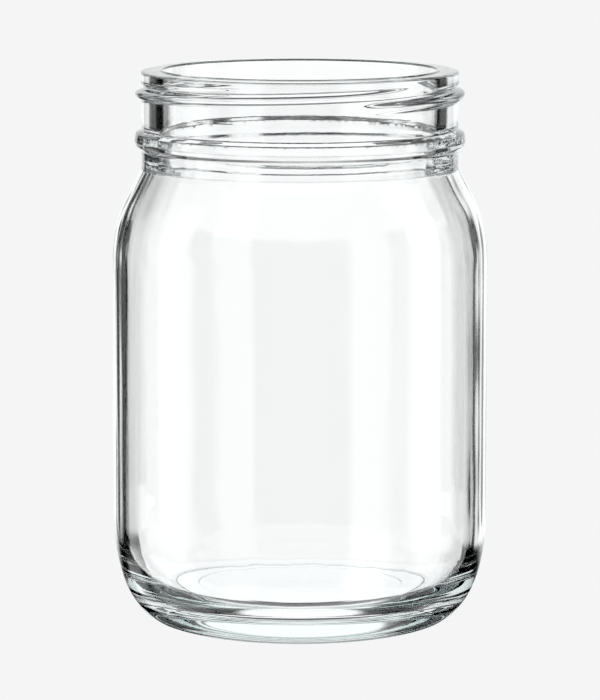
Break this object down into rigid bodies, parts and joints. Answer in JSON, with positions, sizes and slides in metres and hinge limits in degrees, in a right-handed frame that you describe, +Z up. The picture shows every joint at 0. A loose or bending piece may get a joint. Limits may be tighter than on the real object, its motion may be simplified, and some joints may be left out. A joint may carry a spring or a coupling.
{
  "type": "mason jar",
  "caption": "Clear glass canning jar, open at the top, with a straight round body, rounded shoulder and heel, screw-thread neck and flat sealing rim.",
  "frame": {"origin": "on the jar's axis, in the plane of the bearing ring that it stands on", "axes": "+Z up the axis, out of the mouth; +X to the right and -Y to the front, with the thread's visible run-out at the front right"},
  "size_m": [0.0798, 0.0798, 0.1175],
  "materials": {
    "clear_glass": "clear flint glass, fire-polished, with slight mould waviness and a faint green-grey cast"
  },
  "bodies": {
    "root": {"glass_jar": "clear_glass"}
  },
  "joints": []
}
